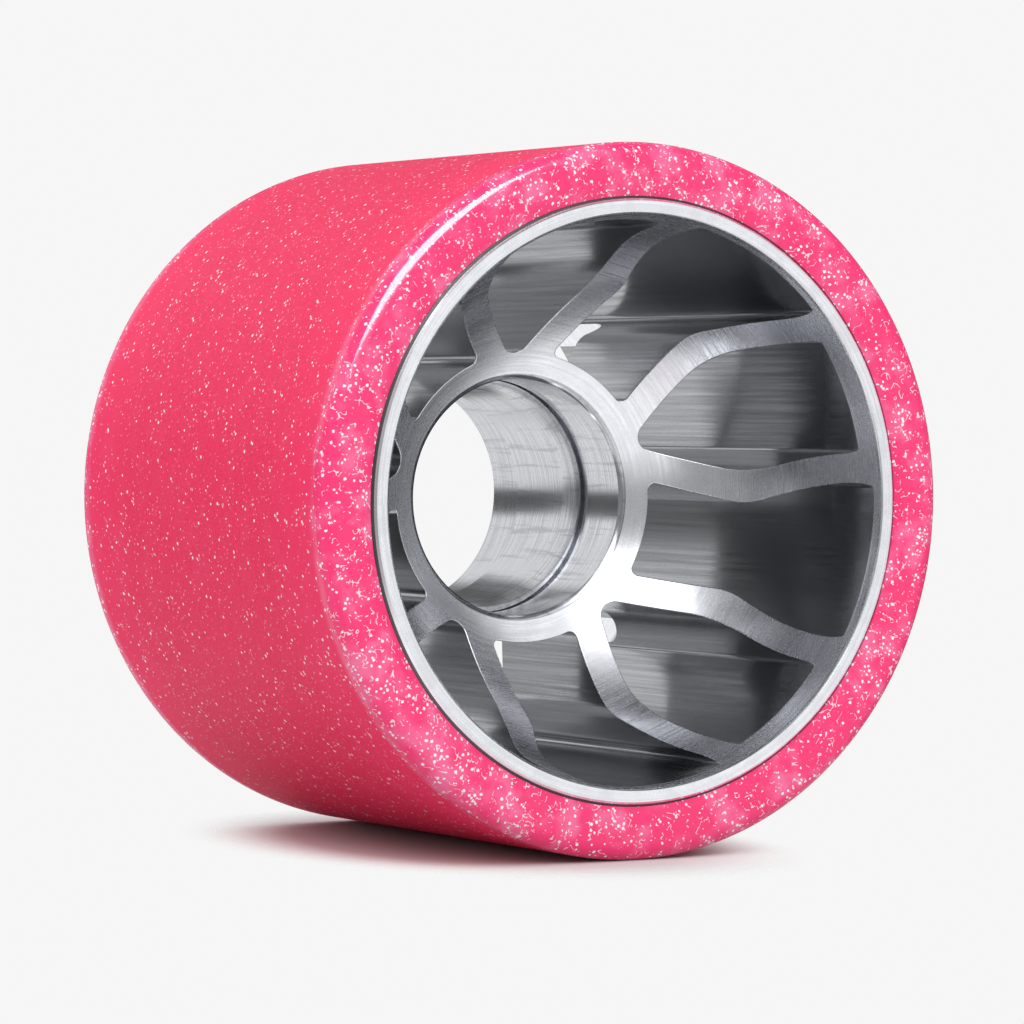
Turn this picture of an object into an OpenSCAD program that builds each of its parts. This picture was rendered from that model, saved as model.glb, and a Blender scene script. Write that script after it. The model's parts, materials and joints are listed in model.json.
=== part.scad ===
// Roller skate wheel: cast urethane tyre bonded on a spoked aluminium hub.
// Millimetres. The wheel stands on its tread, turns about Y, and its dished front looks to -Y.
// Sections are drawn as (radius, height) with the front up, then laid down onto Y.

/* [Tyre] */
// Diameter over the tread
tyre_d = 64; // [58:0.5:70]
// Thickness of the urethane over the rim
tyre_wall = 4.85; // [4:0.05:6]
// Width over both side faces, also the width of the rim
tyre_w = 50; // [48:0.5:53]
// Radius of the rounded edge between tread and side face
shoulder_r = 1.5; // [0.6:0.1:2.5]
// Depth of the dip in the side face where it meets the rim
side_dip = 0.4; // [0.1:0.05:0.8]
// Radial width of that dip
side_dip_w = 1.2; // [0.6:0.1:2]
// Thickness of the bond film between rim and tyre
bond_gap = 0.02; // [0.01:0.01:0.05]

/* [Rim] */
// Chamfer on the outer edges of the rim
rim_chamfer = 0.4; // [0.2:0.05:0.6]
// Width of the flat front face of the rim
lip_w = 1; // [0.7:0.05:1.2]
// Bevel on the inner edge of that face
lip_bevel = 0.25; // [0.1:0.05:0.4]
// Rim wall outside the pockets that lie inside a spoke pair
rim_wall_pair = 2; // [1.7:0.05:2.4]
// Rim wall outside the pockets between two spoke pairs
rim_wall_gap = 1.75; // [1.55:0.05:2]
// Number of grooves around the rim that key the tyre
key_count = 3; // [1:1:5]
// Width of one key groove
key_w = 4; // [2:0.5:6]
// Depth of one key groove
key_depth = 0.5; // [0.2:0.05:0.7]
// Spacing of the key grooves
key_pitch = 10; // [8:0.5:10]

/* [Dish] */
// Depth of the hub face below the front, at the edge of the bore
hub_face_depth = 22; // [21:0.1:24]
// Radius of the turned dish
dish_r = 21; // [20:0.5:22]
// Steepness of the dish wall below the lip, in degrees
dish_wall_angle = 81; // [79:0.5:83]

/* [Bearing tube] */
// Outer diameter of the tube
tube_d = 26.9; // [26:0.1:27.5]
// Length of the tube at the bore
tube_len = 24.8; // [24:0.1:25.8]
// Diameter of a bearing seat, for a 22 mm bearing
seat_d = 22; // [21.5:0.1:22.5]
// Depth of a bearing seat, for a 7 mm bearing
seat_depth = 7; // [6.5:0.1:7.5]
// Chamfer at the mouth of a seat
seat_chamfer = 0.5; // [0.2:0.05:0.7]
// Diameter of the land between the seats
land_d = 20; // [19:0.1:20.4]
// Radial height of the front shoulder, before the taper
shoulder_h = 0.5; // [0.3:0.05:0.7]
// Length of the taper from the front shoulder to the land
land_taper = 2.5; // [1:0.1:3]
// Width of the relief groove in the corner of the front seat
relief_w = 0.5; // [0.3:0.05:0.8]
// Depth of that relief groove
relief_depth = 0.25; // [0.1:0.05:0.4]

/* [Spokes] */
// Number of spoke pairs
pair_count = 5; // [3:1:5]
// Direction of the first pair, in degrees from X
pair_angle = 22.4; // [0:0.1:72]
// Width of a spoke's inner leg, from the tube to the elbow
leg_w_in = 2.8; // [2.3:0.1:3.3]
// Width of a spoke's outer leg, from the elbow to the rim
leg_w_out = 2.5; // [2:0.1:3.2]
// Distance of the elbow from the rim wall of its pair
elbow_inset = 4.4; // [3.8:0.05:5]
// Angle of the elbow from the middle of its pair
elbow_angle = 20.5; // [20:0.1:21.2]
// Lean of the inner leg away from the middle of its pair
lean_in = 38.5; // [37:0.5:40]
// Lean of the outer leg back towards the middle of its pair
lean_out = 5.5; // [2:0.5:9]
// Bend radius of the elbow, inside its pair
elbow_bend_pair = 5; // [3:0.1:6]
// Bend radius of the elbow, outside its pair
elbow_bend_gap = 2.2; // [1:0.1:4]
// Fillet between a spoke and the tube, outside its pair
tube_fillet = 0.6; // [0.4:0.05:1]
// Fillet between a spoke and the rim, inside its pair
rim_fillet_pair = 0.4; // [0.2:0.05:0.8]
// Fillet between a spoke and the rim, outside its pair
rim_fillet_gap = 0.5; // [0.2:0.05:0.8]

/* [Rear] */
// Depth of the turned recess in the back, down to the spokes
rear_recess = 15; // [12:0.5:17]
// Radius that joins the floor of that recess to the rim
rear_round = 4.5; // [2:0.1:6]
// Step by which the tube and the rim are thicker in that recess than at the pockets
rear_step = 0.4; // [0.2:0.05:0.8]

/* [Hidden] */
$fn = 96;
front = tyre_w / 2;
tyre_r = tyre_d / 2;
rim_r = tyre_r - tyre_wall;
bond_r = rim_r + bond_gap;
tube_r = tube_d / 2;
seat_r = seat_d / 2;
land_r = land_d / 2;
pocket_r_pair = rim_r - rim_wall_pair;
pocket_r_gap = rim_r - rim_wall_gap;
bore_edge_r = seat_r + seat_chamfer;
overlap = 0.6;
spare = 3;
round_steps = 6;
rear_rim_r = rim_r - max(rim_wall_pair, rim_wall_gap) - rear_step;

// Bearing tube heights
tube_front = front - hub_face_depth;
tube_rear = tube_front - tube_len;
front_shoulder = tube_front - seat_depth;
rear_shoulder = tube_rear + seat_depth;
recess_floor = rear_recess - front;

// Dish: a leaning wall from the lip, then one arc that ends on the edge of the bore
lip_inner_r = rim_r - rim_chamfer - lip_w;
wall_top = [lip_inner_r - lip_bevel, front - lip_bevel];
wall_dir = [-cos(dish_wall_angle), -sin(dish_wall_angle)];
wall_in = [-sin(dish_wall_angle), cos(dish_wall_angle)];
arc_base = wall_top + dish_r * wall_in - [bore_edge_r, tube_front];
arc_along = arc_base * wall_dir;
wall_len = -arc_along - sqrt(arc_along * arc_along - arc_base * arc_base + dish_r * dish_r);
wall_foot = wall_top + wall_len * wall_dir;
dish_centre = wall_foot + dish_r * wall_in;

// Spoke lines, seen from the front with the middle of the pair along the first axis
function heading(a) = [cos(a), sin(a)];
function side(a) = [-sin(a), cos(a)];
function bearing(p) = atan2(p[1], p[0]);
function reach(p, u, q) = -(p * u) + sqrt((p * u) * (p * u) - p * p + q * q);
function arc(centre, radius, from, to, steps) =
    [for (i = [0 : steps]) centre + radius * heading(from + (to - from) * i / steps)];
function flipped(points, axis) =
    [for (i = [len(points) - 1 : -1 : 0]) 2 * (points[i] * axis) * axis - points[i]];
// Centre of a fillet beside a leg, on the ring on which the fillet's centre lies
function fillet_centre(lean, shift, ring_r) =
    let (start = elbow + shift * side(lean))
    start + reach(start, heading(lean), ring_r) * heading(lean);
// Centre of the round at the elbow, which lies at a distance from the middle line of each leg
function bend_centre(shift_in, shift_out) =
    let (turn = lean_in + lean_out)
    elbow + (shift_out * heading(lean_in) - shift_in * heading(-lean_out)) / sin(turn);
elbow = (pocket_r_pair - elbow_inset) * heading(elbow_angle);
half_in = leg_w_in / 2;
half_out = leg_w_out / 2;
gap_half = 180 / pair_count;

// Round that closes the pocket of a pair at the tube: it touches both inner legs and the tube
leg_offset = elbow * side(lean_in) - half_in;
pair_round_x = (tube_r + leg_offset) / (1 - sin(lean_in));
pair_round_r = pair_round_x - tube_r;

// Centres of the rounds at the elbow and at the ends of a spoke
pair_bend = bend_centre(-half_in - elbow_bend_pair, -half_out - elbow_bend_pair);
gap_bend = bend_centre(half_in - elbow_bend_gap, half_out - elbow_bend_gap);
pair_rim_round = fillet_centre(-lean_out, -half_out - rim_fillet_pair, pocket_r_pair - rim_fillet_pair);
gap_rim_round = fillet_centre(-lean_out, half_out + rim_fillet_gap, pocket_r_gap - rim_fillet_gap);
gap_tube_round = fillet_centre(lean_in, half_in + tube_fillet, tube_r + tube_fillet);

// Half outline of the pocket inside a pair, from the tube out to the rim
pair_half = concat(
    arc([pair_round_x, 0], pair_round_r, 180, 90 + lean_in, round_steps),
    arc(pair_bend, elbow_bend_pair, 90 + lean_in, 90 - lean_out, round_steps),
    arc(pair_rim_round, rim_fillet_pair, 90 - lean_out, bearing(pair_rim_round), round_steps),
    arc([0, 0], pocket_r_pair, bearing(pair_rim_round), 0, round_steps)
);
// Half outline of the pocket between two pairs, from the tube out to the rim
gap_half_line = concat(
    arc([0, 0], tube_r, gap_half, bearing(gap_tube_round), round_steps),
    arc(gap_tube_round, tube_fillet, bearing(gap_tube_round) - 180, lean_in - 90, round_steps),
    arc(gap_bend, elbow_bend_gap, 90 + lean_in, 90 - lean_out, round_steps),
    arc(gap_rim_round, rim_fillet_gap, -90 - lean_out, bearing(gap_rim_round), round_steps),
    arc([0, 0], pocket_r_gap, bearing(gap_rim_round), gap_half, round_steps)
);

// Lays a section or outline that was drawn with the front up down onto the wheel's axis
module lay_down() {
    rotate([90, 0, 0])
        children();
}

// Pockets through the hub, inside the spoke pairs and between them, seen from the front
module pocket_outlines() {
    for (i = [0 : pair_count - 1])
        rotate(pair_angle + i * 360 / pair_count) {
            polygon(concat(pair_half, flipped(pair_half, heading(0))));
            polygon(concat(gap_half_line, flipped(gap_half_line, heading(gap_half))));
        }
}

// Grooves around the rim, or the tyre's ribs that fill them
module key_section(top_r) {
    for (i = [0 : key_count - 1])
        translate([rim_r - key_depth + (top_r - rim_r), (i - (key_count - 1) / 2) * key_pitch - key_w / 2])
            square([key_depth + overlap, key_w]);
}

// Void of the front dish
module dish_section() {
    intersection() {
        translate(dish_centre)
            circle(dish_r);
        translate([0, tube_front - spare])
            square([rim_r, wall_foot[1] - tube_front + spare]);
    }
    polygon([
        [0, wall_foot[1]],
        wall_foot,
        wall_top,
        [lip_inner_r, front],
        [lip_inner_r, front + spare],
        [0, front + spare]
    ]);
}

// Void of the bore, with a bearing seat at each end
module bore_section() {
    polygon([
        [0, tube_front + spare],
        [bore_edge_r, tube_front + spare],
        [bore_edge_r, tube_front],
        [seat_r, tube_front - seat_chamfer],
        [seat_r, front_shoulder + relief_w],
        [seat_r + relief_depth, front_shoulder + relief_w],
        [seat_r + relief_depth, front_shoulder],
        [seat_r - shoulder_h, front_shoulder],
        [land_r, front_shoulder - land_taper],
        [land_r, rear_shoulder],
        [seat_r, rear_shoulder],
        [seat_r, tube_rear + seat_chamfer],
        [bore_edge_r, tube_rear],
        [bore_edge_r, -front - spare],
        [0, -front - spare]
    ]);
}

// Void of the turned recess in the back, around the tube
module rear_section() {
    polygon(concat(
        [[rear_rim_r, -front - spare]],
        arc([rear_rim_r - rear_round, recess_floor - rear_round], rear_round, 0, 90, round_steps),
        [[tube_r + rear_step, recess_floor], [tube_r + rear_step, -front - spare]]
    ));
    translate([0, -front - spare])
        square([rear_rim_r, tube_rear + front + spare]);
}

// Turned body of the hub as a section
module turned_section() {
    difference() {
        polygon([
            [0, -front],
            [rim_r - rim_chamfer, -front],
            [rim_r, -front + rim_chamfer],
            [rim_r, front - rim_chamfer],
            [rim_r - rim_chamfer, front],
            [0, front]
        ]);
        key_section(rim_r);
        dish_section();
        bore_section();
        rear_section();
    }
}

module hub() {
    color("#c9ccd0")
        lay_down()
            difference() {
                rotate(pair_angle)
                    rotate_extrude()
                        turned_section();
                translate([0, 0, -front - 1])
                    linear_extrude(tyre_w + 2)
                        pocket_outlines();
            }
}

// Section of the tyre, with the ribs that fill the rim's grooves
module tyre_section() {
    difference() {
        union() {
            translate([bond_r, -front + shoulder_r])
                square([tyre_r - bond_r, tyre_w - 2 * shoulder_r]);
            translate([bond_r, -front])
                square([tyre_r - shoulder_r - bond_r, tyre_w]);
            for (end = [-1, 1])
                translate([tyre_r - shoulder_r, end * (front - shoulder_r)])
                    circle(shoulder_r);
        }
        for (end = [-1, 1])
            polygon([
                [bond_r - overlap, end * (front - side_dip)],
                [bond_r, end * (front - side_dip)],
                [bond_r + side_dip_w, end * front],
                [bond_r + side_dip_w, end * (front + 1)],
                [bond_r - overlap, end * (front + 1)]
            ]);
    }
    intersection() {
        key_section(bond_r);
        translate([0, -front])
            square([bond_r + overlap / 2, tyre_w]);
    }
}

module tyre() {
    color("#f0477f")
        lay_down()
            rotate_extrude()
                tyre_section();
}

hub();
tyre();
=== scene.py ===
"""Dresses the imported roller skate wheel: turned aluminium hub, glitter urethane tyre, studio and camera."""

import json
import logging
import math
from dataclasses import dataclass
from enum import IntEnum
from typing import Callable

import bmesh
import bpy
from mathutils import Matrix, Vector
from mathutils.geometry import delaunay_2d_cdt
from mathutils.kdtree import KDTree


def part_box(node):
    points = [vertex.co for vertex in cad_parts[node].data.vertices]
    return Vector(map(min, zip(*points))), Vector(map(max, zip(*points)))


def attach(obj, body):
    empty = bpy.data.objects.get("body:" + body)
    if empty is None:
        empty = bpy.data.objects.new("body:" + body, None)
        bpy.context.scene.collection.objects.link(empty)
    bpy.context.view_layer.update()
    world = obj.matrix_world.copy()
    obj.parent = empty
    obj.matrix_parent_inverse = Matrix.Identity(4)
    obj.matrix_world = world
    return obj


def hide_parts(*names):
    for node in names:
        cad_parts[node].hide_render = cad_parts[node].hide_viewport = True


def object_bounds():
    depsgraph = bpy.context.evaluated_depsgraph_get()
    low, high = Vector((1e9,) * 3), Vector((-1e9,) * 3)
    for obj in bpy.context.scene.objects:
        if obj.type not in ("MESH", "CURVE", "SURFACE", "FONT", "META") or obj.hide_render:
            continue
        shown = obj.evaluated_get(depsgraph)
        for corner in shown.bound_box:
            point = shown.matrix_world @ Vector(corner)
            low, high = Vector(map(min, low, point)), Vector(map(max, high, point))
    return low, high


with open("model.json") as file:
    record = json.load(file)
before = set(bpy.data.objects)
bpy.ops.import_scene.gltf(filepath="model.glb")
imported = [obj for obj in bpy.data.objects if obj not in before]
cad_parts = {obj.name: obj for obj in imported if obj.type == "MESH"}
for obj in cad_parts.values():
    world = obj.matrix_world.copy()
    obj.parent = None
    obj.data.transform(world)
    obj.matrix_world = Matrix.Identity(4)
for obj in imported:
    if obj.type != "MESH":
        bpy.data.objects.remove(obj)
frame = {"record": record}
CAD_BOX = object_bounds()

LOG = logging.getLogger("wheel")
MM = 0.001
TINY = 1e-6
WELD_MM = 0.002
CREASE_DEGREES = 27.0
SAME_SIDE = 0.8
NOISE_MIDDLE = 0.5
FINISH_LAYER = "finish"
BODY = "root"
PHOTO_PIXELS = 1024
COOL_CAST = (0.955, 0.972, 1.02)

Point = tuple[float, float]
Triple = tuple[float, float, float]
Colour = tuple[float, float, float, float]
Outline = list[tuple[Vector, Vector]]
Row = list[bmesh.types.BMVert]
Socket = bpy.types.NodeSocket
Level = Socket | float
Normal = Callable[[Vector], Vector | None]


def mm_box(node: str) -> tuple[Vector, Vector]:
    """Gives the lowest and the highest corner of a solid's box, in millimetres."""
    low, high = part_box(node)
    return low / MM, high / MM


def mount(name: str) -> dict:
    """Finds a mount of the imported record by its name."""
    return next(m for m in frame["record"]["mounts"] if m["name"] == name)


def unit(degrees: float) -> Vector:
    """Gives the plan direction at an angle from the first axis."""
    return Vector((math.cos(math.radians(degrees)), math.sin(math.radians(degrees))))


def left_of(degrees: float) -> Vector:
    """Gives the plan direction a quarter turn left of an angle."""
    return unit(degrees + 90)


def bearing(point: Vector) -> float:
    """Gives the angle of a plan point from the first axis, in degrees."""
    return math.degrees(math.atan2(point.y, point.x))


def towards(azimuth: float, elevation: float) -> Vector:
    """Gives the direction at an azimuth from the front and an elevation, both in degrees."""
    turn, rise = math.radians(azimuth), math.radians(elevation)
    return Vector((math.sin(turn) * math.cos(rise), -math.cos(turn) * math.cos(rise), math.sin(rise)))


def encloses(ring: list[Vector], place: Vector) -> bool:
    """Tells whether a closed ring of points goes around a place.

    Args:
        ring: Points of the ring.
        place: Place to test.

    Returns:
        True where the place lies inside the ring.
    """
    crossed = False
    for a, b in zip(ring, ring[1:] + ring[:1]):
        if (a.y > place.y) != (b.y > place.y):
            crossed ^= place.x < a.x + (b.x - a.x) * (place.y - a.y) / (b.y - a.y)
    return crossed


class Finish(IntEnum):
    """Finishes of the faces, which number a piece's materials. The tyre has the cast one alone."""

    TURNED = 0
    # Pocket walls: drawn grain, with a dark metal colour that is painted shade in the pockets.
    DRAWN = 1
    BORED = 2
    # Rim under the tyre, primed for the bond. Where it shows at the lip's chamfer, its dark colour is painted
    # shade of the gap to the tyre.
    PRIMED = 3
    CAST = 0


class Tree:
    """Adds nodes to a node tree and joins them."""

    def __init__(self, tree: bpy.types.NodeTree) -> None:
        """Keeps the tree that the nodes go into."""
        self.tree = tree

    def add(self, kind: str, settings: dict | None = None, **inputs: object) -> bpy.types.Node:
        """Adds one node.

        Args:
            kind: Type of the node.
            settings: Properties of the node itself.
            inputs: Values or sockets for its inputs, as fill takes them.

        Returns:
            The new node.
        """
        node = self.tree.nodes.new(kind)
        for name, value in (settings or {}).items():
            setattr(node, name, value)
        return self.fill(node, **inputs)

    def fill(self, node: bpy.types.Node, **inputs: object) -> bpy.types.Node:
        """Sets a node's inputs or joins them to sockets.

        Args:
            node: Node to fill.
            inputs: Values or sockets by name, with _ for a space, or by number after an i.

        Returns:
            The same node.
        """
        for name, value in inputs.items():
            key = int(name[1:]) if name[1:].isdigit() else name.replace("_", " ")
            if isinstance(value, Socket):
                self.tree.links.new(value, node.inputs[key])
            else:
                node.inputs[key].default_value = value
        return node

    def math(self, operation: str, first: Level, second: Level = 0.0) -> Socket:
        """Adds a Math node and gives its result."""
        return self.add("ShaderNodeMath", {"operation": operation}, i0=first, i1=second).outputs[0]

    def times(self, first: Level, second: Level) -> Socket:
        """Multiplies two values."""
        return self.math("MULTIPLY", first, second)

    def minus(self, first: Level, second: Level) -> Socket:
        """Takes the second value from the first."""
        return self.math("SUBTRACT", first, second)

    def length(self, vector: Socket) -> Socket:
        """Gives the length of a vector."""
        return self.add("ShaderNodeVectorMath", {"operation": "LENGTH"}, i0=vector).outputs["Value"]

    def ramp(self, value: Level, low: float, high: float, start: float = 0.0, end: float = 1.0) -> Socket:
        """Maps a value smoothly from the span between low and high to that between start and end."""
        node = self.add("ShaderNodeMapRange", {"interpolation_type": "SMOOTHSTEP"}, Value=value)
        return self.fill(node, From_Min=low, From_Max=high, To_Min=start, To_Max=end).outputs[0]

    def noise(self, place: Socket, size_mm: float, detail: float = 2.0, rough: float = 0.5) -> Socket:
        """Adds a noise texture with spots of about one size and gives its value."""
        shape = {"Scale": 1 / (size_mm * MM), "Detail": detail, "Roughness": rough}
        return self.add("ShaderNodeTexNoise", Vector=place, **shape).outputs[0]

    def mix(self, amount: Level, first: Level, second: Level) -> Socket:
        """Mixes two values and gives the result."""
        return self.add("ShaderNodeMix", i0=amount, i2=first, i3=second).outputs[0]

    def blend(self, amount: Level, first: Socket | Colour, second: Socket | Colour) -> Socket:
        """Mixes two colours and gives the result."""
        return self.add("ShaderNodeMix", {"data_type": "RGBA"}, i0=amount, i6=first, i7=second).outputs[2]


def shader_tree(name: str) -> tuple[bpy.types.Material, Tree, bpy.types.Node]:
    """Starts a material.

    Args:
        name: Name of the material.

    Returns:
        The material, its tree and its shader node.
    """
    material = bpy.data.materials.new(name)
    material.use_nodes = True
    tree = Tree(material.node_tree)
    return material, tree, material.node_tree.nodes["Principled BSDF"]


def grey(level: float) -> Colour:
    """Gives a grey with the cool cast of bare aluminium."""
    return (*(level * share for share in COOL_CAST), 1.0)


@dataclass(frozen=True)
class MetalFinish:
    """Bare aluminium with marks that run around the axis or along it."""

    name: str
    pale: float
    dark: float
    rough: float
    anisotropy: float
    mark_mm: float
    relief: float
    around: bool = True
    streaks: float = 0.0
    clouds: float = 0.0
    rough_spread: float = 0.05
    mark_share: float = 0.75
    tone_span: Point = (0.3, 0.7)
    grain_mm: float = 0.15
    grain_turn: float = 0.25
    cloud_mm: float = 1.7
    cloud_span: Point = (0.38, 0.66)
    streak_mm: float = 0.8
    streak_span: Point = (0.52, 0.70)
    streak_squeeze: Triple = (1.0, 0.05, 1.0)
    drawn_squeeze: Triple = (1.0, 0.012, 1.0)
    turn_mm: float = 0.25
    relief_mm: float = 0.02

    def material(self) -> bpy.types.Material:
        """Makes the material.

        Returns:
            The finished material.
        """
        material, tree, shader = shader_tree(self.name)
        place = tree.add("ShaderNodeTexCoord").outputs["Object"]
        marks = self.mark_lines(tree, place)
        grain = tree.noise(place, self.grain_mm)
        tone = tree.math("ADD", tree.times(marks, self.mark_share), tree.times(grain, 1 - self.mark_share))
        shade = tree.ramp(tone, *self.tone_span)
        if self.clouds:
            cloud = tree.ramp(tree.noise(place, self.cloud_mm, detail=3.0), *self.cloud_span)
            shade = tree.minus(shade, tree.times(cloud, self.clouds))
        if self.streaks:
            along = tree.add("ShaderNodeMapping", Vector=place, Scale=self.streak_squeeze).outputs[0]
            worn = tree.ramp(tree.noise(along, self.streak_mm, detail=4.0, rough=0.7), *self.streak_span)
            shade = tree.minus(shade, tree.times(worn, self.streaks))
        rough = self.rough + self.rough_spread, self.rough - self.rough_spread
        depth = self.relief_mm * MM
        relief = tree.add("ShaderNodeBump", Height=marks, Strength=self.relief, Distance=depth)
        tree.fill(
            shader,
            Base_Color=tree.blend(shade, grey(self.dark), grey(self.pale)),
            Roughness=tree.ramp(tone, *self.tone_span, *rough),
            Normal=relief.outputs[0],
            Tangent=self.grain(tree),
            Metallic=1.0,
            Anisotropic=self.anisotropy,
            Anisotropic_Rotation=self.grain_turn,
        )
        return material

    def mark_lines(self, tree: Tree, place: Socket) -> Socket:
        """Makes the pattern of tool marks.

        Args:
            tree: Tree that the nodes go into.
            place: Object coordinates.

        Returns:
            The height of the marks.
        """
        if not self.around:
            along = tree.add("ShaderNodeMapping", Vector=place, Scale=self.drawn_squeeze).outputs[0]
            return tree.noise(along, self.mark_mm, detail=4.0, rough=0.65)
        across, depth, up = tree.add("ShaderNodeSeparateXYZ", Vector=place).outputs
        radius = tree.length(tree.add("ShaderNodeCombineXYZ", X=across, Y=up).outputs[0])
        turn = tree.times(tree.math("ARCTAN2", up, across), self.turn_mm * MM)
        lathe = tree.add("ShaderNodeCombineXYZ", X=radius, Y=depth, Z=turn).outputs[0]
        return tree.noise(lathe, self.mark_mm, detail=3.0, rough=0.6)

    def grain(self, tree: Tree) -> Socket:
        """Gives the direction of the grain, around the axis or along it.

        Args:
            tree: Tree that the nodes go into.

        Returns:
            The direction.
        """
        if self.around:
            return tree.add("ShaderNodeTangent", {"direction_type": "RADIAL", "axis": "Y"}).outputs[0]
        return tree.add("ShaderNodeCombineXYZ", Y=1.0).outputs[0]


@dataclass(frozen=True)
class UrethaneFinish:
    """Cast urethane with glitter, whose paired levels are for the matte tread and the glossy side faces."""

    name: str = "glitter_urethane"
    side_colour: Colour = (1.0, 0.05, 0.205, 1.0)
    tread_colour: Colour = (1.0, 0.013, 0.125, 1.0)
    tread_deep: Colour = (0.82, 0.006, 0.078, 1.0)
    haze_colour: Colour = (1.0, 0.22, 0.43, 1.0)
    flake_colour: Colour = (1.0, 0.93, 0.96, 1.0)
    rough_level: Point = (0.55, 0.14)
    gloss: float = 0.3
    edge_mm: Point = (22.0, 24.0)
    cloud_mm: float = 2.6
    mottle_mm: float = 0.24
    mottle_span: Point = (0.36, 0.66)
    mottle_full_mm: float = 12.0
    mottle_fade: Point = (1.0, 0.1)
    haze_span: Point = (0.42, 0.72)
    haze_level: Point = (0.05, 0.72)
    crowd_span: Point = (0.45, 0.62)
    crowd_level: Point = (0.12, 0.50)
    empty_level: Point = (0.92, 0.79)
    warp_size: float = 0.5
    warp_push: float = 0.4
    flake_spread: Point = (0.5, 1.2)
    flake_tilt: Triple = (0.6, 0.4, 0.9)
    bright_flake: Point = (0.40, 0.32)
    faint_flake: Point = (0.30, 0.30)
    faint_empty: float = 0.78
    faint_share: float = 0.28
    thread_mm: Point = (0.8, 0.7)
    thread_half: float = 0.018
    thread_empty: Point = (0.72, 0.58)
    thread_share: float = 0.75
    grain_mm: float = 0.25
    grain_depth_mm: float = 0.03
    grain_level: Point = (0.30, 0.05)

    def material(self) -> bpy.types.Material:
        """Makes the material.

        Returns:
            The finished material.
        """
        material, tree, shader = shader_tree(self.name)
        place = tree.add("ShaderNodeTexCoord").outputs["Object"]
        off_middle = tree.math("ABSOLUTE", tree.add("ShaderNodeSeparateXYZ", Vector=place).outputs[1])
        inner, outer = (edge * MM for edge in self.edge_mm)
        side = tree.ramp(off_middle, inner, outer)

        def level(pair: Point) -> Socket:
            """Goes from the tread's level to that of the side faces."""
            return tree.ramp(side, 0.0, 1.0, *pair)

        cloud = tree.noise(place, self.cloud_mm, detail=3.0)
        mottle = tree.noise(place, self.mottle_mm, detail=4.0, rough=0.7)
        mottle = tree.ramp(mottle, *self.mottle_span)
        fade = tree.ramp(off_middle, self.mottle_full_mm * MM, inner, *self.mottle_fade)
        base = tree.blend(tree.times(mottle, fade), self.tread_colour, self.tread_deep)
        base = tree.blend(side, base, self.side_colour)
        haze = tree.times(tree.ramp(cloud, *self.haze_span), level(self.haze_level))
        body = tree.blend(haze, base, self.haze_colour)
        crowd = tree.times(tree.ramp(cloud, *self.crowd_span), level(self.crowd_level))
        empty = tree.minus(level(self.empty_level), crowd)
        tilted = tree.add("ShaderNodeMapping", Vector=place, Rotation=self.flake_tilt).outputs[0]
        bright = self.flakes(tree, tilted, *self.bright_flake, empty)
        faint = self.flakes(tree, tilted, *self.faint_flake, self.faint_empty)
        threads = self.threads(tree, place, level(self.thread_empty))
        glitter = tree.math("MAXIMUM", bright, tree.times(faint, self.faint_share))
        glitter = tree.math("MAXIMUM", glitter, tree.times(threads, self.thread_share))
        relief = tree.add(
            "ShaderNodeBump",
            Height=tree.noise(place, self.grain_mm, detail=3.0),
            Strength=level(self.grain_level),
            Distance=self.grain_depth_mm * MM,
        )
        tree.fill(
            shader,
            Base_Color=tree.blend(glitter, body, self.flake_colour),
            Roughness=level(self.rough_level),
            Normal=relief.outputs[0],
            Specular_IOR_Level=self.gloss,
        )
        return material

    def flakes(self, tree: Tree, place: Socket, cell_mm: float, radius: float, empty: Level) -> Socket:
        """Scatters flakes through the urethane.

        Args:
            tree: Tree that the nodes go into.
            place: Object coordinates.
            cell_mm: Spacing of the flakes.
            radius: Radius of a flake as a share of the spacing.
            empty: Share of the places that stay empty.

        Returns:
            One on a flake and zero beside it.
        """
        cell = cell_mm * MM
        bent = tree.add("ShaderNodeTexNoise", Vector=place, Scale=1 / (self.warp_size * cell), Detail=1.0)
        push = tree.add(
            "ShaderNodeVectorMath",
            {"operation": "MULTIPLY_ADD"},
            i0=bent.outputs["Color"],
            i1=(self.warp_push * cell,) * 3,
            i2=place,
        )
        cells = tree.add("ShaderNodeTexVoronoi", Vector=push.outputs[0], Scale=1 / cell)
        draw = tree.add("ShaderNodeSeparateColor", Color=cells.outputs["Color"])
        there = tree.math("GREATER_THAN", draw.outputs[0], empty)
        small, large = (share * radius for share in self.flake_spread)
        reach = tree.ramp(draw.outputs[1], 0.0, 1.0, small, large)
        return tree.times(there, tree.math("LESS_THAN", cells.outputs["Distance"], reach))

    def threads(self, tree: Tree, place: Socket, empty: Level) -> Socket:
        """Draws short thin threads, cut from the contour lines of a noise.

        Args:
            tree: Tree that the nodes go into.
            place: Object coordinates.
            empty: Level of the mask above which a line is kept.

        Returns:
            One on a thread and zero beside it.
        """
        lines_mm, mask_mm = self.thread_mm
        height = tree.noise(place, lines_mm, detail=1.0)
        off_line = tree.math("ABSOLUTE", tree.minus(height, NOISE_MIDDLE))
        line = tree.math("LESS_THAN", off_line, self.thread_half)
        mask = tree.noise(place, mask_mm, detail=1.0)
        return tree.times(line, tree.math("GREATER_THAN", mask, empty))


def plain_mesh(piece: bpy.types.Object) -> bpy.types.Mesh:
    """Makes a plain mesh of a piece with its modifiers applied."""
    return bpy.data.meshes.new_from_object(piece.evaluated_get(bpy.context.evaluated_depsgraph_get()))


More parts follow.
